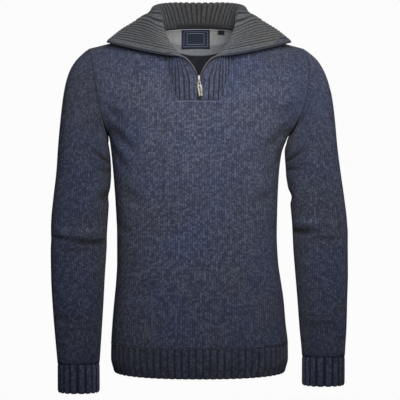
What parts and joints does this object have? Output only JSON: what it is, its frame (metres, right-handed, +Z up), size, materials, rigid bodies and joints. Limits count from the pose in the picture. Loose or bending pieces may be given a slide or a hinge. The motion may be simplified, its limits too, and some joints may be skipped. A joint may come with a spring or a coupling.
{
  "type": "quarter zip sweater",
  "caption": "Hollow knitted sweater with a short front zip, a wide ribbed collar folded open, set-in sleeves, and ribbed cuffs and hem.",
  "frame": {"origin": "midway between the two neck points, where the collar meets the shoulder seams and the wearer's neck and shoulders hold the garment", "axes": "+Z up along the body, +X to the right as seen from the front, the front of the garment faces -Y"},
  "size_m": [0.583, 0.2319, 0.7652],
  "materials": {
    "blue_marl_knit": "heavy marl stockinette, matt",
    "blue_marl_rib": "marl rib, matt",
    "grey_rib": "grey rib, matt",
    "grey_jersey": "fine grey jersey",
    "label_weave": "dark woven tape, bare",
    "zip_coil": "zip tape with a dark coil",
    "nickel": "polished nickel"
  },
  "bodies": {
    "garment": {"front": "blue_marl_knit", "back": "blue_marl_knit", "sleeve_left": "blue_marl_knit", "sleeve_right": "blue_marl_knit", "hem_rib_front": "blue_marl_rib", "hem_rib_back": "blue_marl_rib", "cuff_left": "blue_marl_rib", "cuff_right": "blue_marl_rib", "collar_outer": "blue_marl_rib", "collar_inner": "grey_rib", "zip_tape_left": "zip_coil", "zip_tape_right": "zip_coil", "zip_slider": "nickel", "neck_patch": "grey_jersey", "label": "label_weave", "size_tab": "label_weave"},
    "pull_tab": {"zip_pull": "nickel"}
  },
  "joints": [
    {"name": "pull_swing", "type": "hinge", "parent": "garment", "child": "pull_tab", "pos_m": [0, -0.11177, -0.10565], "axis": [-0.9903, 0, -0.1392], "range_deg": [0, 150]}
  ]
}
